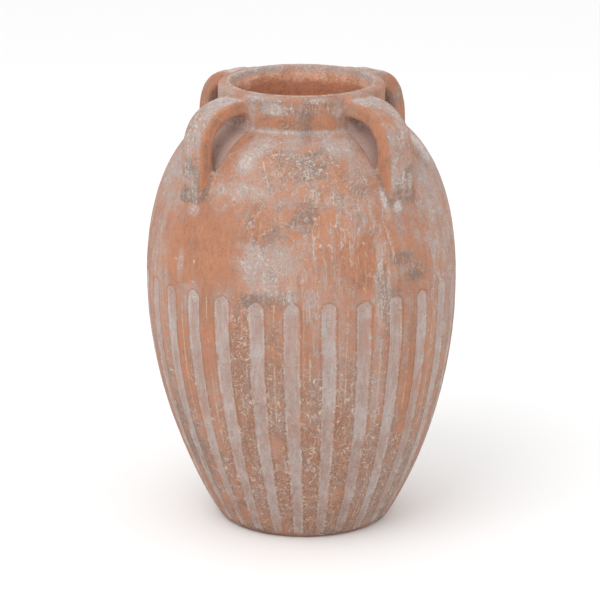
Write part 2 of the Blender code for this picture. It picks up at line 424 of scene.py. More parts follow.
# Small knocks that bare a pale spot: across and tall are half sizes, amount is the depth in metres
CHIPS = [
    Patch(54, 0.3270, 0.0022, 0.0022, 0.0005),
    Patch(4, 0.3010, 0.0020, 0.0022, 0.0005),
    Patch(70.5, 0.3270, 0.0014, 0.0026, 0.0004),
    Patch(52, 0.3520, 0.0026, 0.0018, 0.0003),
    Patch(-6, 0.2990, 0.0030, 0.0014, 0.0003),
    Patch(4, 0.2810, 0.0022, 0.0012, 0.0003),
    Patch(173, 0.3300, 0.0030, 0.0024, 0.0006),
    Patch(262, 0.3450, 0.0024, 0.0030, 0.0006),
]
DENTS = [
    Patch(49.5, 0.3890, 0.0042, 0.0024, 0.0011),
    Patch(14, 0.4190, 0.0050, 0.0020, 0.0006),
    Patch(200, 0.3600, 0.0050, 0.0030, 0.0010),
]
SCRATCHES = [
    ((80.5, 0.3400), (83.0, 0.3120), 0.0007),
    ((28.0, 0.4020), (33.0, 0.3800), 0.0006),
    ((32.0, 0.3680), (27.0, 0.3420), 0.0005),
    ((151.0, 0.3350), (158.0, 0.3220), 0.0006),
    ((306.0, 0.3050), (303.0, 0.2880), 0.0006),
]


def spots(marks, angle, height, radius):
    """Round-edged small marks: the largest share of any mark at each point, and its depth."""
    share = np.zeros(len(angle))
    depth = np.zeros(len(angle))
    for mark in marks:
        beside = np.radians(turn_between(angle, mark.azimuth)) * radius / mark.across
        above = (height - mark.height) / mark.tall
        here = np.clip(1.3 - np.hypot(beside, above), 0, 1)
        share = np.maximum(share, here)
        depth = np.maximum(depth, here * mark.amount)
    return share, depth


def scratch_share(angle, height, radius):
    total = np.zeros(len(angle))
    for (azimuth0, height0), (azimuth1, height1), half in SCRATCHES:
        x = np.radians(turn_between(angle, azimuth0)) * radius
        y = height - height0
        dx = radians(azimuth1 - azimuth0) * radius
        dy = height1 - height0
        along = np.clip((x * dx + y * dy) / (dx * dx + dy * dy), 0, 1)
        far = np.hypot(x - along * dx, y - along * dy)
        total = np.maximum(total, np.clip(1.4 - far / half, 0, 1))
    return total


def hand_waviness(angle, height):
    """How far the hand-built wall stands inside the true outline: never outside it."""
    around = place(np.full(len(angle), 0.12), angle, height)
    slow = lattice_noise(around, 0.11, 21)
    quick = lattice_noise(around, 0.035, 22)
    return -0.0007 * (1 + slow) * 0.5 - 0.0003 * (1 + quick) * 0.5


def rim_sag(angle, height):
    """The lip isn't quite level: it dips away from its highest place at the back."""
    dip = 0.0003 * (1 - np.cos(np.radians(angle - 215)))
    return -dip * smooth(NECK_FOOT, HEIGHT, height)


def strap_shadow_zone(angle, height, radius):
    """The sheltered clay under each strap, where the wash never reached. 1 inside, with a crisp edge."""
    zone = np.zeros(len(angle))
    for strap in HANDLES.values():
        beside = np.radians(turn_between(angle, strap.azimuth)) * radius
        level = strap.top - strap.thick - 0.004
        half_low = strap.width / 2 - 0.0015
        half = half_low + (SHELTER_HALF_WIDTH - half_low) * smooth(0.376, 0.400, height)
        inside = np.minimum(half - np.abs(beside), np.minimum(height - SHELTER_FOOT, level - height))
        zone = np.maximum(zone, smooth(-0.0010, 0.0008, inside))
    return zone


def strap_recess(angle, height, radius):
    """How deep the wall is pressed in under each strap, to leave room for the fingers."""
    depth = 0.0012 + 0.0030 * smooth(0.415, 0.390, height) + 0.0018 * smooth(0.390, 0.376, height)
    return depth * strap_shadow_zone(angle, height, radius)


def surface_masks(points, angle, height, radius):
    """All masks of the outer body surface, as point attributes."""
    drift = fractal(points, 0.055, 31)
    upright = points * np.array([1, 1, 0.18])
    streak = fractal(upright, 0.012, 33)
    wash = 0.06 + 0.32 * drift + 0.16 * streak
    wash = wash + patch_field(WASH_PATCHES, angle, height, radius, points, 41)
    streaks = 0.12 + patch_field(STREAK_PATCHES, angle, height, radius, points, 45)
    wash += 0.55 * smooth(0.4385, 0.4475, height) * (1 + 0.6 * drift) - 0.4 * smooth(0.425, 0.430, height)
    wash += 0.9 * np.exp(-(((height - NECK_FOOT - 0.0005) / 0.0022) ** 2)) * smooth(-0.6, 0.3, drift)
    # Painted sheen: lighter towards the outline as the camera sees it, above the belly.
    away = np.abs(turn_between(angle, CAMERA_AZIMUTH))
    wash += 0.20 * smooth(55, 75, away) * smooth(0.16, 0.24, height)
    crazed = 0.05 + 0.35 * drift + 0.30 * smooth(0.26, 0.20, height)
    crazed = crazed + patch_field(CRAZED_PATCHES, angle, height, radius, points, 51)
    soot_and_shade = 0.08 * smooth(0.1, 0.8, fractal(points, 0.07, 61))
    soot_and_shade = soot_and_shade + patch_field(SOOT_PATCHES, angle, height, radius, points, 63)
    # Darker towards the foot, over the lowest 16 mm.
    soot_and_shade += 0.5 * smooth(0.016, 0.002, height)
    zone = strap_shadow_zone(angle, height, radius)
    # Painted shade: each zone turns darker towards its top, right under its strap.
    soot_and_shade += 0.45 * zone * smooth(0.418, 0.432, height)
    chip = np.maximum(spots(CHIPS, angle, height, radius)[0], scratch_share(angle, height, radius))
    dent = spots(DENTS, angle, height, radius)[0]
    return {
        "wash": wash,
        "crazed": crazed,
        "streaks": streaks,
        "soot_and_shade": soot_and_shade + 0.9 * dent,
        "sheltered": zone,
        "chip": chip,
    }


def outer_surface(angle, run):
    """World points of the finished outer surface, and its masks, at azimuths and outline distances."""
    point, normal = outline_at(run)
    radius, height = point.T
    base = place(radius, angle, height)
    cut, inside = flute_relief(angle, height, radius)
    masks = surface_masks(base, angle, height, radius)
    below_joint = height < SECTION_JOINT + 0.01
    inside = np.where(below_joint, inside, -1.0)
    relief = -np.where(below_joint, cut, 0.0)
    relief += hand_waviness(angle, height)
    relief -= spots(CHIPS, angle, height, radius)[1] + spots(DENTS, angle, height, radius)[1]
    relief -= 0.0003 * scratch_share(angle, height, radius) + strap_recess(angle, height, radius)
    grain = 0.00016 * fractal(base, 0.006, 71) + 0.00010 * lattice_noise(base, 0.0028, 75)
    crust = smooth(0.1, 0.9, masks["crazed"]) * 0.00030 * np.abs(fractal(base, 0.0075, 73))
    rough_spot = patch_field([Patch(129, 0.402, 0.016, 0.022, 1.0)], angle, height, radius, base, 77)
    relief += np.minimum(grain + crust - 0.0003, 0.0003)
    relief += 0.0018 * rough_spot * lattice_noise(base, 0.0046, 79)
    masks["wash"] = masks["wash"] + 1.6 * rough_spot
    moved_radius = radius + normal[:, 0] * relief
    moved_height = height + normal[:, 1] * relief + rim_sag(angle, height)
    masks["flute"] = inside
    limed = patch_field([Patch(28, NECK_FOOT, 0.036, 0.030, 1.0), Patch(215, NECK_FOOT, 0.030, 0.030, 1.0)],
                        angle, height, radius, base, 91)
    in_crease = np.abs(run - run_at_height(NECK_FOOT)) + 0.002 * (1 - np.clip(limed, 0, 1))
    from_crest = 0.5 * (CREST_RUN - run)
    masks["line"] = np.where(below_joint, land_line(angle, height, radius), np.minimum(in_crease, from_crest))
    return place(moved_radius, angle, moved_height), masks


def inner_surface(angle, radius, height, normal):
    """World points of the turned inside, with its throwing rings."""
    base = place(radius, angle, height)
    spiral = np.sin(2 * pi * (height / 0.0085 + angle / 360)) * 0.5 + 0.5
    relief = 0.00012 * spiral + 0.0007 * fractal(base, 0.03, 81) + 0.00015 * lattice_noise(base, 0.004, 83)
    relief = relief * smooth(0.0, 0.012, HEIGHT - height)
    drift = fractal(base, 0.03, 85)
    masks = {
        # Painted light: the inner wall is much lighter just below the rim.
        "wash": -1.2 + 0.6 * drift + 2.1 * smooth(0.030, 0.003, HEIGHT - height),
        # Painted shade: the inner wall darkens deeper down the mouth.
        "soot_and_shade": -0.05 - 0.2 * drift + 0.4 * smooth(0.43, 0.30, height),
        "chip": spots([Patch(206, 0.4480, 0.0026, 0.0018, 0.0006)], angle, height, radius)[0],
        "flute": 0.0 * drift - 1.0,
        "line": 0.5 * np.hypot(radius - LIP_CREST[0], height - LIP_CREST[1]),
        "inside": smooth(0.003, 0.010, HEIGHT - height),
    }
    moved_height = height - normal[:, 1] * relief + rim_sag(angle, height)
    return place(radius - normal[:, 0] * relief, angle, moved_height), masks


# ---- Meshes ----

MASKS = ("wash", "streaks", "crazed", "soot_and_shade", "sheltered", "chip", "flute", "line", "inside", "side")
SEAM_ANGLE = radians(58)


def grid_faces(rows, columns, closed_rows):
    """Quads of a grid that closes around its columns, and around its rows too where asked."""
    row = np.arange(rows if closed_rows else rows - 1)[:, None]
    column = np.arange(columns)[None, :]
    below = (row + 1) % rows
    beside = (column + 1) % columns
    corners = ((row, column), (row, beside), (below, beside), (below, column))
    quad = [np.broadcast_to(i * columns + j, (len(row), columns)) for i, j in corners]
    return np.stack(quad, axis=-1).reshape(-1, 4)


def capped_faces(rows, columns):
    """Quads of a grid that closes around its columns, with one cap at each end."""
    faces = grid_faces(rows, columns, closed_rows=False).tolist()
    faces.append(list(range(columns))[::-1])
    faces.append([(rows - 1) * columns + i for i in range(columns)])
    return faces


def lean(points):
    """The jar's foot stands a little to one side of its mouth."""
    share = smooth(LEAN_TOP, 0.03, points[:, 2])[:, None]
    return points + share * place(FOOT_LEAN, LEAN_AZIMUTH, 0.0)


def make_piece(name, points, faces, masks, material):
    """A mesh object with its masks, which stands for the CAD node of the same purpose."""
    points = lean(points)
    points[:, 2] = np.minimum(points[:, 2], HEIGHT)
    mesh = bpy.data.meshes.new(name)
    mesh.from_pydata(points.tolist(), [], faces)
    for mask in MASKS:
        values = masks.get(mask)
        values = np.zeros(len(points)) if values is None else values
        layer = mesh.attributes.new(mask, "FLOAT", "POINT")
        layer.data.foreach_set("value", np.asarray(values, dtype=np.float32))
    mesh.materials.append(material)
    mesh.shade_smooth()
    mesh.set_sharp_from_angle(angle=SEAM_ANGLE)
    mesh.update()
    piece = bpy.data.objects.new(name, mesh)
    bpy.context.scene.collection.objects.link(piece)
    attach(piece, "root")
    return piece


def stack_rings(rings):
    """Joins rings of (points, masks) into one array each, with every mask present."""
    points = np.vstack([ring[0] for ring in rings])
    masks = {}
    for mask in MASKS:
        parts = [np.asarray(ring[1].get(mask, np.zeros(len(ring[0])))) for ring in rings]
        masks[mask] = np.concatenate(parts)
    return points, masks


COLUMN_ANGLES = 360 / COLUMNS * np.arange(COLUMNS)


def outer_rings(runs):
    """Rows of the outer surface at the given distances along the outline."""
    angle = np.tile(COLUMN_ANGLES, len(runs))
    return outer_surface(angle, np.repeat(runs, COLUMNS))


def inner_rings(profile):
    """Rows of the inner surface at (radius, height) points, which run upwards."""
    profile = np.asarray(profile, dtype=float)
    along = np.gradient(profile, axis=0)
    along /= np.linalg.norm(along, axis=1, keepdims=True)
    outward = np.stack([along[:, 1], -along[:, 0]], axis=-1)
    angle = np.tile(COLUMN_ANGLES, len(profile))
    radius, height = (np.repeat(profile[:, i], COLUMNS) for i in (0, 1))
    return inner_surface(angle, radius, height, -np.repeat(outward, COLUMNS, axis=0))


def inner_profile(low, high, count):
    """The inside of the wall between two heights: the outline moved in by the wall's thickness."""
    runs = np.linspace(run_at_height(low - 0.02) if low > 0.02 else 0, run_at_height(high + 0.02), 400)
    point, normal = outline_at(runs)
    moved = point - WALL * normal
    heights = np.linspace(low, high, count)
    return [(float(np.interp(z, moved[:, 1], moved[:, 0])), float(z)) for z in heights]


def make_ring_piece(name, rings, material):
    """A closed ring from rows of points that go once around its section."""
    points, masks = stack_rings(rings)
    rows = len(points) // COLUMNS
    faces = grid_faces(rows, COLUMNS, closed_rows=True)
    return make_piece(name, points, faces.tolist(), masks, material)


def foot_rings():
    """The flat foot ring that the jar stands on, slightly worn at its outer edge."""
    worn_edge = [(0.0866, 0.0013), (0.0850, 0.0003), (0.0830, 0.0)]
    inner_edge = [(FLOOR_RADIUS + 0.004, 0.0), (FLOOR_RADIUS + 0.0006, 0.0006)]
    rings = []
    for radius, height in worn_edge + inner_edge:
        base = place(np.full(COLUMNS, radius), COLUMN_ANGLES, np.full(COLUMNS, height))
        bare = np.full(COLUMNS, 1.0)
        rings.append((base, {"wash": -0.4 * bare, "soot_and_shade": 0.5 * bare, "flute": -bare, "line": bare}))
    return rings


def make_lower_wall(material):
    body = np.linspace(run_at_height(0.0036), run_at_height(0.254), 104)
    tops = np.linspace(run_at_height(0.254), run_at_height(SECTION_JOINT), 22)[1:]
    outer = outer_rings(np.concatenate([body, tops])[::-1])
    seat = [(FLOOR_RADIUS + 0.0004, FLOOR_LOW), (FLOOR_RADIUS + 0.0004, FLOOR_TOP)]
    inside = inner_rings(seat + inner_profile(0.030, SECTION_JOINT, 9))
    rings = [outer] + foot_rings() + [inside]
    piece = make_ring_piece("fluted_lower_wall", rings, material)
    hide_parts("lower_wall")


def make_shoulder_wall(material):
    outer = outer_rings(np.linspace(run_at_height(NECK_FOOT), run_at_height(SECTION_JOINT), 96))
    throat = [(MOUTH_RADIUS + 0.0055, 0.4085), (MOUTH_RADIUS + 0.0018, 0.4150), (MOUTH_RADIUS, NECK_FOOT)]
    inside = inner_rings(inner_profile(SECTION_JOINT, 0.398, 34) + throat)
    piece = make_ring_piece("shoulder_wall_skin", [outer, inside], material)
    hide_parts("shoulder_wall")


def make_neck_collar(material):
    outer = outer_rings(np.linspace(run_at_height(LIP_FOOT), run_at_height(NECK_FOOT), 20))
    inside = inner_rings([(MOUTH_RADIUS, z) for z in np.linspace(NECK_FOOT, LIP_FOOT, 18)])
    piece = make_ring_piece("neck_collar_skin", [outer, inside], material)
    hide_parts("neck_collar")


def make_lip_coil(material):
    outer = outer_rings(np.linspace(CREST_RUN, run_at_height(LIP_FOOT), 22))
    edge = (MOUTH_RADIUS, HEIGHT - 0.0065)
    rounding = (MOUTH_RADIUS + 0.0008, HEIGHT - 0.0016)
    over = bezier(edge, rounding, (LIP_CREST[0] - 0.0018, HEIGHT), LIP_CREST, 14)[:-1]
    upright = [(MOUTH_RADIUS, z) for z in np.linspace(LIP_FOOT, HEIGHT - 0.0075, 6)]
    inside = inner_rings(upright + [tuple(point) for point in over])
    piece = make_ring_piece("rounded_lip", [outer, inside], material)
    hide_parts("lip_coil")


def make_floor_slab(material):
    """The turned floor: a disc with a spiral of finger grooves on top and string marks below."""
    columns = 168
    angles = 360 / columns * np.arange(columns)
    radii = np.linspace(0.004, FLOOR_RADIUS, 36)
    rings = []
    for radius, top in [(r, True) for r in radii] + [(r, False) for r in radii[::-1]]:
        base = place(np.full(columns, radius), angles, np.full(columns, FLOOR_TOP if top else FLOOR_LOW))
        groove = 0.0004 * (1 + np.sin(2 * pi * (radius / 0.009 + angles / 360)))
        arc = 0.0003 * (1 + np.sin(2 * pi * np.hypot(base[:, 0] - 0.2, base[:, 1]) / 0.006))
        edge = smooth(FLOOR_RADIUS, FLOOR_RADIUS - 0.003, radius)
        base[:, 2] += (-groove if top else arc) * edge
        rings.append(base)
    points = np.vstack(rings)
    faces = capped_faces(len(rings), columns)
    bare = np.ones(len(points))
    masks = {"wash": -0.8 * bare, "soot_and_shade": 0.25 * bare, "flute": -bare, "line": bare, "inside": bare}
    piece = make_piece("turned_floor", points, faces, masks, material)
    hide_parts("floor_slab")


# ---- Strap handles ----


def body_distance_table():
    """Signed distance to the body's outline on a fine grid of radius and height."""
    radius = np.arange(0.060, 0.175, TABLE_STEP)
    height = np.arange(0.330, 0.480, TABLE_STEP)
    grid = np.stack(np.meshgrid(radius, height, indexing="ij"), axis=-1)
    upper = OUTLINE[OUTLINE[:, 1] > 0.30]
    inner_edge = np.array([(MOUTH_RADIUS + 0.001, HEIGHT - 0.002)])
    line = np.vstack([upper[::2], upper[-1:], inner_edge])
    far = np.full(grid.shape[:2], np.inf)
    for start, end in zip(line, line[1:]):
        step = end - start
        if not step.any():
            continue
        share = np.clip(((grid - start) @ step) / (step @ step), 0, 1)
        far = np.minimum(far, np.linalg.norm(grid - start - share[..., None] * step, axis=-1))
    reach = np.interp(grid[..., 1], line[:, 1], line[:, 0], right=0)
    return radius, height, np.where(grid[..., 0] < reach, -far, far)


TABLE_RADIUS, TABLE_HEIGHT, TABLE_DISTANCE = body_distance_table()


def body_distance(points):
    """Distance of world points from the body's outer surface, negative inside."""
    radius = np.hypot(points[:, 0], points[:, 1])
    across = np.clip((radius - TABLE_RADIUS[0]) / TABLE_STEP, 0, len(TABLE_RADIUS) - 2)
    up = np.clip((points[:, 2] - TABLE_HEIGHT[0]) / TABLE_STEP, 0, len(TABLE_HEIGHT) - 2)
    i, j = across.astype(int), up.astype(int)
    s, t = across - i, up - j
    table = TABLE_DISTANCE
    low = table[i, j] * (1 - s) + table[i + 1, j] * s
    high = table[i, j + 1] * (1 - s) + table[i + 1, j + 1] * s
    return low * (1 - t) + high * t


def smooth_union(first, second, blend):
    """Distance to two shapes joined with a soft fillet."""
    share = np.clip(1 - np.abs(first - second) / blend, 0, None)
    return np.minimum(first, second) - share * share * blend / 4


def strap_path(strap):
    """The strap's middle line in (radius, height), evenly stepped: out from the neck, over and down."""
    level = strap.top - strap.thick / 2
    start = (STRAP_START_RADIUS, level)
    bend = (STRAP_BEND_RADIUS, level + strap.rise)
    turn = (strap.reach, level + strap.rise - STRAP_TURN_DROP)
    upright = (strap.reach, level - STRAP_BEND_DROP)
    over = bezier(start, bend, turn, upright, 80)
    bury_start = (strap.reach, STRAP_ROOT_HEIGHT + 0.026)
    bury_end = (strap.reach - STRAP_ROOT_TUCK, STRAP_ROOT_HEIGHT)
    straight = (strap.reach, STRAP_ROOT_HEIGHT + 0.013)
    down = bezier(bury_start, straight, (strap.reach - 0.002, STRAP_ROOT_HEIGHT + 0.007), bury_end, 30)
    path = np.vstack([over, down])
    run = along_outline(path)
    even = np.linspace(0, run[-1], STRAP_STEPS)
    return np.stack([np.interp(even, run, path[:, i]) for i in (0, 1)], axis=-1)


def make_handle(name, strap, seed, material):
    """A hand-pulled strap: a rounded section swept along its path, filleted into neck and shoulder."""
    path = strap_path(strap)
    along = np.gradient(path, axis=0)
    along /= np.linalg.norm(along, axis=1, keepdims=True)
    outward = np.stack([-along[:, 1], along[:, 0]], axis=-1)
    turn = radians(strap.azimuth)
    radial = np.array([sin(turn), -cos(turn), 0.0])
    tangent = np.array([cos(turn), sin(turn), 0.0])
    up = np.array([0.0, 0.0, 1.0])
    around = 2 * pi * (np.arange(STRAP_AROUND) + 0.5) / STRAP_AROUND
    c, s = np.cos(around), np.sin(around)
    power = STRAP_CORNER_POWER
    grow = (np.abs(c) ** power + np.abs(s) ** power) ** (-1 / power)
    share = np.linspace(0, 1, STRAP_STEPS)
    noise_line = np.stack([share * 0.3, 0 * share + seed, 0 * share], axis=-1)
    sway = 0.0007 * lattice_noise(noise_line, 0.06, seed)
    width = strap.width * (1 + 0.035 * lattice_noise(noise_line, 0.05, seed + 1))
    thick = strap.thick * (1 + 0.04 * lattice_noise(noise_line, 0.04, seed + 2))
    thick = thick * (1 + STRAP_ROOT_GROWTH * smooth(0.52, 0.80, share))
    tongue = np.sqrt(1 - 0.75 * smooth(0.80, 1.02, share) ** 2)
    x = (c * grow)[None, :] * (width * tongue)[:, None] / 2 + sway[:, None]
    dish = 0.0007 * np.exp(-((c * grow / 0.45) ** 2)) * np.sign(s)
    y = (s * grow)[None, :] * (thick * tongue)[:, None] / 2 - dish[None, :]
    middle = path[:, :1] * radial + path[:, 1:] * up
    out = outward[:, :1] * radial + outward[:, 1:] * up
    base = middle[:, None, :] + x[..., None] * tangent + y[..., None] * out[:, None, :]
    away = (c[None, :, None] * tangent) + (s[None, :, None] * out[:, None, :])
    base, away = base.reshape(-1, 3), away.reshape(-1, 3)
    low, high = np.zeros(len(base)), np.full(len(base), STRAP_FILLET * 0.9)
    for _ in range(14):
        half = (low + high) / 2
        moved = base + away * half[:, None]
        from_body = body_distance(moved) + strap_recess(*azimuth_height_radius(moved))
        inside = smooth_union(half, from_body, STRAP_FILLET) < 0
        low, high = np.where(inside, half, low), np.where(inside, high, half)
    points = base + away * low[:, None]
    grain = 0.00022 * fractal(points, 0.009, seed + 5) + 0.00012 * lattice_noise(points, 0.0035, seed + 6)
    points = points + away * grain[:, None]
    points = keep_in_wall(points)
    angle, _, radius = azimuth_height_radius(points)
    waves = hand_waviness(angle, points[:, 2])
    points[:, 2] += rim_sag(angle, points[:, 2])
    points[:, :2] *= (1 + waves / radius)[:, None]
    masks = handle_masks(points, strap, np.tile(s, STRAP_STEPS), np.tile(c, STRAP_STEPS), share, seed)
    faces = capped_faces(STRAP_STEPS, STRAP_AROUND)
    piece = make_piece(name + "_strap", points, faces, masks, material)
    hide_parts(name)


def keep_in_wall(points):
    """Points that lie deep in the wall are lifted, so that no root breaks through to the inside."""
    for _ in range(3):
        depth = np.clip(-STRAP_DEPTH_IN_WALL - body_distance(points), 0, None)
        step = 0.0005
        radius = np.hypot(points[:, 0], points[:, 1])
        outward = np.stack([points[:, 0] / radius, points[:, 1] / radius, 0 * radius], axis=-1)
        slope_out = body_distance(points + outward * step) - body_distance(points - outward * step)
        lifted = points + np.array([0, 0, step])
        lowered = points - np.array([0, 0, step])
        slope_up = body_distance(lifted) - body_distance(lowered)
        size = np.maximum(np.hypot(slope_out, slope_up), 1e-6)
        points = points + outward * (depth * slope_out / size)[:, None]
        points[:, 2] += depth * slope_up / size
    return points


def handle_masks(points, strap, out_share, side_share, share, seed):
    """Washed on the outer face, mostly bare clay on the flanks and underneath, dirty at the lower end, with
    painted shade in the crease where the strap meets the body.
    """
    drift = fractal(points, 0.03, seed + 11)
    run = np.repeat(share, STRAP_AROUND)
    outer = smooth(0.60, 0.80, out_share)
    under = smooth(-0.60, -0.80, out_share)
    blots = 0.9 * lattice_noise(points, 0.016, seed + 13)
    face = (strap.face_wash - strap.flank_wash + blots) * outer
    wash = strap.flank_wash + face + 0.9 * under + 0.35 * drift
    wash += 1.0 * smooth(0.26, 0.07, run) + 0.5 * smooth(0.86, 0.97, run)
    grime = 0.75 + 0.5 * lattice_noise(points, 0.012, seed + 15)
    soot_and_shade = grime * outer * smooth(0.50, 0.74, run) * smooth(1.0, 0.88, run) + 0.1 * drift
    angle, height, radius = azimuth_height_radius(points)
    near = smooth(0.004, 0.0005, body_distance(points))
    zone = strap_shadow_zone(angle, height, radius) * near
    flank = smooth(0.35, 0.75, np.abs(side_share)) * (1 - outer)
    body_wash = surface_masks(points, angle, height, radius)
    masks = {"wash": wash * (1 - near) + body_wash["wash"] * near}
    masks["soot_and_shade"] = soot_and_shade * (1 - near) + body_wash["soot_and_shade"] * near
    # Painted shade: darker in the crease where the strap joins the body, most at the lower root.
    crease = smooth(0.0020, 0.0005, np.abs(body_distance(points) - 0.0006))
    masks["soot_and_shade"] += crease * (0.30 + 0.55 * smooth(0.60, 0.75, run))
    masks["streaks"] = 0.5 + 0.5 * drift
    masks["crazed"] = (0.1 + 0.3 * outer) * (1 - near) + body_wash["crazed"] * near
    masks["sheltered"] = zone
    masks["flute"] = np.full(len(points), -1.0)
    masks["line"] = np.full(len(points), 1.0)
    masks["side"] = flank * (1 - near)
    return masks


# ---- Material ----


class Wire:
    """A node socket with arithmetic, so that a material reads like a formula."""

    def __init__(self, tree, socket):
        self.tree = tree
        self.socket = socket

    def math(self, operation, *others, clamp=False):
        node = self.tree.nodes.new("ShaderNodeMath")
        node.operation = operation
        node.use_clamp = clamp
        for slot, value in zip(node.inputs, (self,) + others):
            plug(self.tree, slot, value)
        return Wire(self.tree, node.outputs[0])

    def __add__(self, other):
        return self.math("ADD", other)

    def __sub__(self, other):
        return self.math("SUBTRACT", other)

    def __mul__(self, other):
        return self.math("MULTIPLY", other)

    def clamped(self):
        return self.math("ADD", 0.0, clamp=True)

    def ramp(self, low, high):
        """0 below low and 1 above high, or the other way where low is above high."""
        node = self.tree.nodes.new("ShaderNodeMapRange")
        node.interpolation_type = "SMOOTHSTEP"
        plug(self.tree, node.inputs["Value"], self)
        rising = low < high
        node.inputs["From Min"].default_value = low if rising else high
        node.inputs["From Max"].default_value = high if rising else low
        node.inputs["To Min"].default_value = 0.0 if rising else 1.0
        node.inputs["To Max"].default_value = 1.0 if rising else 0.0
        return Wire(self.tree, node.outputs["Result"])


def plug(tree, slot, value):
    if isinstance(value, Wire):
        tree.links.new(value.socket, slot)
    else:
        slot.default_value = value


def mix_colour(tree, share, first, second):
    node = tree.nodes.new("ShaderNodeMix")
    node.data_type = "RGBA"
    plug(tree, node.inputs["Factor"], share)
    for slot, value in ((node.inputs[6], first), (node.inputs[7], second)):
        if isinstance(value, Wire):
            tree.links.new(value.socket, slot)
        else:
            slot.default_value = (*value, 1.0)
    return Wire(tree, node.outputs[2])


def stretched(tree, scale, turn=0.0):
    """The object's own coordinates, turned and stretched."""
    coordinates = tree.nodes.new("ShaderNodeTexCoord")
    mapping = tree.nodes.new("ShaderNodeMapping")
    mapping.inputs["Scale"].default_value = scale
    mapping.inputs["Rotation"].default_value = (turn, turn, 0)
    tree.links.new(coordinates.outputs["Object"], mapping.inputs["Vector"])
    return mapping.outputs["Vector"]


def noise(tree, size, detail=3.0, scale=(1, 1, 1), turn=0.0, distortion=0.0, roughness=0.55):
    """Noise around 0.5 with features of about size metres."""
    node = tree.nodes.new("ShaderNodeTexNoise")
    tree.links.new(stretched(tree, scale, turn), node.inputs["Vector"])
    node.inputs["Scale"].default_value = 1 / size
    node.inputs["Detail"].default_value = detail
    node.inputs["Roughness"].default_value = roughness
    node.inputs["Distortion"].default_value = distortion
    return Wire(tree, node.outputs["Fac"])


def contour(tree, size, width, scale=(1, 1, 1), turn=0.0, distortion=0.0):
    """Thin wandering lines, where a noise crosses its middle value."""
    lines = noise(tree, size, 2, scale=scale, turn=turn, distortion=distortion)
    return (lines - 0.5).math("ABSOLUTE").ramp(width, width * 0.3)


def attribute(tree, name):
    node = tree.nodes.new("ShaderNodeAttribute")
    node.attribute_name = name
    return Wire(tree, node.outputs["Fac"])


CLAY_LIGHT = (0.475, 0.210, 0.118)
CLAY_MID = (0.390, 0.178, 0.106)
CLAY_DEEP = (0.225, 0.116, 0.076)
CLAY_INSIDE = (0.600, 0.236, 0.132)
VEIL_PINK = (0.445, 0.318, 0.272)
VEIL_GREY = (0.388, 0.330, 0.310)
INSIDE_SHEEN = (0.980, 0.590, 0.420)
FLUTE_GREY = (0.450, 0.405, 0.392)
FLUTE_PINK = (0.395, 0.305, 0.276)
CHALK_AND_HIGHLIGHT = (0.590, 0.525, 0.495)
SQUIGGLE = (0.590, 0.455, 0.372)
SOOT_AND_SHADE = (0.180, 0.134, 0.112)
SHELTERED = (0.520, 0.375, 0.328)


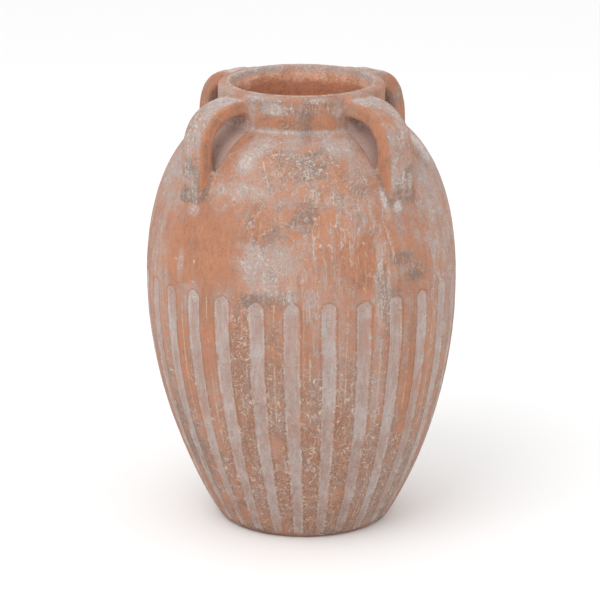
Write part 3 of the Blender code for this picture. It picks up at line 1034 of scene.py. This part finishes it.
def terracotta_material(name):
    """Fired clay under a thin lime wash that has worn, crazed and gathered dirt."""
    material = bpy.data.materials.new(name)
    material.use_nodes = True
    tree = material.node_tree
    shader = tree.nodes["Principled BSDF"]
    wash, streaks, crazed, soot_and_shade = (attribute(tree, mask) for mask in ("wash", "streaks", "crazed", "soot_and_shade"))
    sheltered, chip, flute = (attribute(tree, mask) for mask in ("sheltered", "chip", "flute"))
    line, inside, side = (attribute(tree, mask) for mask in ("line", "inside", "side"))

    cloud = noise(tree, 0.045, 4).ramp(0.32, 0.68)
    tone = noise(tree, 0.030, 3, scale=(1, 1, 0.6)).ramp(0.36, 0.64)
    mottle = noise(tree, 0.015, 6, roughness=0.68).ramp(0.33, 0.67)
    blot = noise(tree, 0.0052, 3, roughness=0.65).ramp(0.34, 0.66)
    speck = noise(tree, 0.0024, 2, roughness=0.7).ramp(0.36, 0.64)
    grain = noise(tree, 0.0013, 1).ramp(0.30, 0.70)
    brushed = noise(tree, 0.0055, 4, scale=(1, 1, 0.09)).ramp(0.35, 0.65)
    fibre = noise(tree, 0.0022, 2, scale=(1, 1, 0.13), turn=0.25, distortion=0.3).ramp(0.34, 0.66)
    across = noise(tree, 0.0060, 3, scale=(0.25, 0.25, 1)).ramp(0.35, 0.65)
    bands = noise(tree, 0.017, 2, scale=(1, 1, 0.14)).ramp(0.34, 0.66)
    gaps = noise(tree, 0.011, 2).ramp(0.42, 0.56)
    shelter_clear = sheltered * -1.0 + 1.0

    # Clay body, orange to brown
    clay = mix_colour(tree, cloud, CLAY_MID, CLAY_LIGHT)
    clay = mix_colour(tree, inside * 0.85, clay, CLAY_INSIDE)
    clay = mix_colour(tree, mottle * blot * 0.40, clay, CLAY_DEEP)
    clay = mix_colour(tree, fibre.ramp(0.55, 1.0) * 0.22, clay, CLAY_DEEP)
    clay = mix_colour(tree, sheltered * 0.88, clay, SHELTERED)

    # Thin veil of wash, rubbed back along brush strokes, with painted sheen towards the outline and painted
    # light inside the mouth
    brushwork = ((brushed - 0.5) * 0.65 + (fibre - 0.5) * 0.65) * streaks.clamped()
    rubbed = (mottle - 0.5) * 0.85 + (fibre - 0.5) * 0.15 + brushwork
    cover = wash + rubbed + (bands - 0.5) * 0.55 + (blot - 0.5) * 0.28 + (speck - 0.5) * 0.40
    film = (wash + (bands - 0.5) * 0.7 + (cloud - 0.5) * 0.3).ramp(-1.4, 0.8) * shelter_clear
    veil = (cover.ramp(-0.50, 1.10) * 0.88 + film * 0.12).clamped() * shelter_clear
    veil_colour = mix_colour(tree, tone, VEIL_PINK, VEIL_GREY)
    # Inside the mouth the veil is a near-white painted highlight on the upper inner wall.
    veil_colour = mix_colour(tree, inside, veil_colour, INSIDE_SHEEN)
    colour = mix_colour(tree, veil * 0.90, clay, veil_colour)

    # Darker, dirtier ground where the surface has crazed; then soot, with painted shade under the straps, in
    # their joints and deep in the mouth
    dirty = (crazed + (mottle - 0.5) * 0.7).ramp(0.10, 0.95) * (blot * 0.45 + speck * 0.25 + 0.35)
    colour = mix_colour(tree, dirty * 0.72 * shelter_clear, colour, CLAY_DEEP)
    # Soot, and painted shade: under the straps' tops, along their joints with the body and deeper inside the
    # mouth.
    dirt_and_shade = (soot_and_shade + (mottle - 0.5) * 0.5 + (across - 0.5) * 0.3 + (speck - 0.5) * 0.5).ramp(0.10, 1.0)
    colour = mix_colour(tree, dirt_and_shade * 0.75, colour, SOOT_AND_SHADE)

    # Lime left in the flutes, greyer where thick and pinker where worn, with a painted highlight and painted
    # shade along the flute edges
    ragged = flute + (speck - 0.5) * 0.0006 + (blot - 0.5) * 0.0006 + (mottle - 0.5) * 0.0006
    in_flute = ragged.ramp(-0.0007, 0.0020)
    worn = (tone * 0.50 + brushed * 0.50).ramp(0.15, 0.85)
    lime = mix_colour(tree, worn, FLUTE_GREY, FLUTE_PINK)
    lime = mix_colour(tree, fibre * (blot * 0.4 + 0.1), lime, CLAY_MID)
    held = cloud * 0.12 + mottle * 0.22 + tone * -0.15 + wash.ramp(-0.8, 0.8) * 0.25 + 0.58
    lime_cover = in_flute * held.clamped()
    colour = mix_colour(tree, lime_cover, colour, lime)
    # Thick lime along the flute edges, which also serves as a painted highlight on the edges.
    on_edge = (flute - 0.0004 + (speck - 0.5) * 0.0012).math("ABSOLUTE").ramp(0.0015, 0.0003)
    colour = mix_colour(tree, on_edge * (mottle * 0.40 + brushed * 0.30 - 0.06).clamped(), colour, CHALK_AND_HIGHLIGHT)
    shade_edge = (flute + 0.0018 + (speck - 0.5) * 0.0008).math("ABSOLUTE").ramp(0.0014, 0.0003)
    colour = mix_colour(tree, shade_edge * 0.40, colour, CLAY_DEEP)

    # Thick chalky remains
    chalk = (wash * 0.75 + rubbed * 0.9 + (blot - 0.5) * 0.5 + (speck - 0.5) * 0.9).ramp(0.60, 1.6)
    chalk = chalk * shelter_clear * (inside * -0.7 + 1.0)
    colour = mix_colour(tree, chalk * 0.75, colour, CHALK_AND_HIGHLIGHT)

    # Crazed squiggles, brush scratches and scored lines
    busy = (crazed + (mottle - 0.5) * 0.7).ramp(0.00, 0.90)
    curls = contour(tree, 0.0098, 0.030, distortion=1.2) * gaps
    curls = (curls + contour(tree, 0.0150, 0.019, distortion=2.2) * (gaps * -1.0 + 1.0)).clamped()
    scratches = contour(tree, 0.0080, 0.026, scale=(1, 1, 0.16), distortion=0.4) * brushed
    slant = contour(tree, 0.0100, 0.020, scale=(1, 0.5, 0.3), turn=0.7, distortion=0.8) * mottle
    off_flute = in_flute * -0.60 + 1.0
    brushed_lines = (scratches * 0.75 + slant * 0.55) * (streaks * 0.7 + busy * 0.4 + 0.05).clamped()
    threads = (curls * busy + brushed_lines).clamped()
    threads = threads * off_flute * shelter_clear * (side * -0.7 + 1.0) * (inside * -0.8 + 1.0)
    colour = mix_colour(tree, threads * 0.92, colour, SQUIGGLE)
    scored = (line + (speck - 0.5) * 0.0006).ramp(0.0011, 0.0003) * brushed.ramp(0.05, 0.6)
    colour = mix_colour(tree, scored * 0.65, colour, SQUIGGLE)
    knocks = (chip + (speck - 0.5) * 0.5).ramp(0.25, 0.95)
    colour = mix_colour(tree, knocks * 0.60, colour, CHALK_AND_HIGHLIGHT)
    salt = noise(tree, 0.0021, 1).ramp(0.66, 0.78) * wash.ramp(-0.7, 0.8)
    colour = mix_colour(tree, salt * 0.90, colour, CHALK_AND_HIGHLIGHT)
    pepper = noise(tree, 0.0018, 1, scale=(1.3, 1.1, 1.2)).ramp(0.64, 0.78) * shelter_clear
    colour = mix_colour(tree, pepper * 0.60, colour, SOOT_AND_SHADE)
    tree.links.new(colour.socket, shader.inputs["Base Color"])

    # Matte, and dustier where the lime lies
    rough = veil * 0.06 + (speck - 0.5) * 0.10 + 0.84
    tree.links.new(rough.socket, shader.inputs["Roughness"])
    shader.inputs["Specular IOR Level"].default_value = 0.25

    bump = tree.nodes.new("ShaderNodeBump")
    bump.inputs["Strength"].default_value = 0.9
    bump.inputs["Distance"].default_value = 0.0012
    crust = veil * 0.08 + chalk * 0.22 + threads * 0.28 - knocks * 0.15 - pepper * 0.3
    height = crust + speck * 0.12 + grain * 0.07 + blot * 0.14 + mottle * 0.16 - scored * 0.2
    tree.links.new(height.socket, bump.inputs["Height"])
    tree.links.new(bump.outputs["Normal"], shader.inputs["Normal"])
    return material


# ---- Stage ----


def make_stage():
    """A plain pale floor, an even white surround, and two large soft lamps."""
    bpy.ops.mesh.primitive_plane_add(size=60, location=(0, 0, 0))
    floor = bpy.context.object
    floor.name = "floor"
    pale = bpy.data.materials.new("pale_floor")
    pale.use_nodes = True
    pale.node_tree.nodes["Principled BSDF"].inputs["Base Color"].default_value = (0.93, 0.93, 0.93, 1)
    pale.node_tree.nodes["Principled BSDF"].inputs["Roughness"].default_value = 0.9
    floor.data.materials.append(pale)

    world = bpy.data.worlds.new("surround")
    world.use_nodes = True
    world.node_tree.nodes["Background"].inputs["Color"].default_value = (1, 1, 1, 1)
    world.node_tree.nodes["Background"].inputs["Strength"].default_value = 1.0
    bpy.context.scene.world = world

    soft_lamp("key", azimuth=10, elevation=50, distance=2.6, size=1.8, power=24)
    soft_lamp("fill", azimuth=95, elevation=35, distance=3.0, size=2.2, power=6)


def soft_lamp(name, azimuth, elevation, distance, size, power):
    lamp = bpy.data.lights.new(name, "AREA")
    lamp.energy = power
    lamp.size = size
    holder = bpy.data.objects.new(name, lamp)
    aim = Vector((0, 0, 0.23))
    holder.location = aim + direction(azimuth, elevation) * distance
    holder.rotation_euler = (aim - holder.location).to_track_quat("-Z", "Y").to_euler()
    bpy.context.scene.collection.objects.link(holder)


def direction(azimuth, elevation):
    turn, lift = radians(azimuth), radians(elevation)
    return Vector((sin(turn) * cos(lift), -cos(turn) * cos(lift), sin(lift)))


def make_camera():
    data = bpy.data.cameras.new("camera")
    data.lens = CAMERA_LENS
    data.sensor_width = 36.0
    data.clip_end = 100.0
    camera = bpy.data.objects.new("camera", data)
    turn = radians(CAMERA_AZIMUTH)
    aside = Vector((cos(turn), sin(turn), 0)) * CAMERA_SIDESTEP
    aim = Vector((0, 0, CAMERA_AIM_HEIGHT)) + aside
    camera.location = aim + direction(CAMERA_AZIMUTH, CAMERA_ELEVATION) * CAMERA_DISTANCE
    camera.rotation_euler = (aim - camera.location).to_track_quat("-Z", "Y").to_euler()
    bpy.context.scene.collection.objects.link(camera)
    bpy.context.scene.camera = camera


def main():
    make_camera()
    make_stage()
    bpy.context.scene.view_settings.view_transform = "Standard"
    washed = terracotta_material("washed_terracotta_surface")
    make_lower_wall(washed)
    make_shoulder_wall(washed)
    make_neck_collar(washed)
    make_lip_coil(washed)
    make_floor_slab(washed)
    for number, (name, strap) in enumerate(HANDLES.items()):
        make_handle(name, strap, 100 + 20 * number, washed)


main()
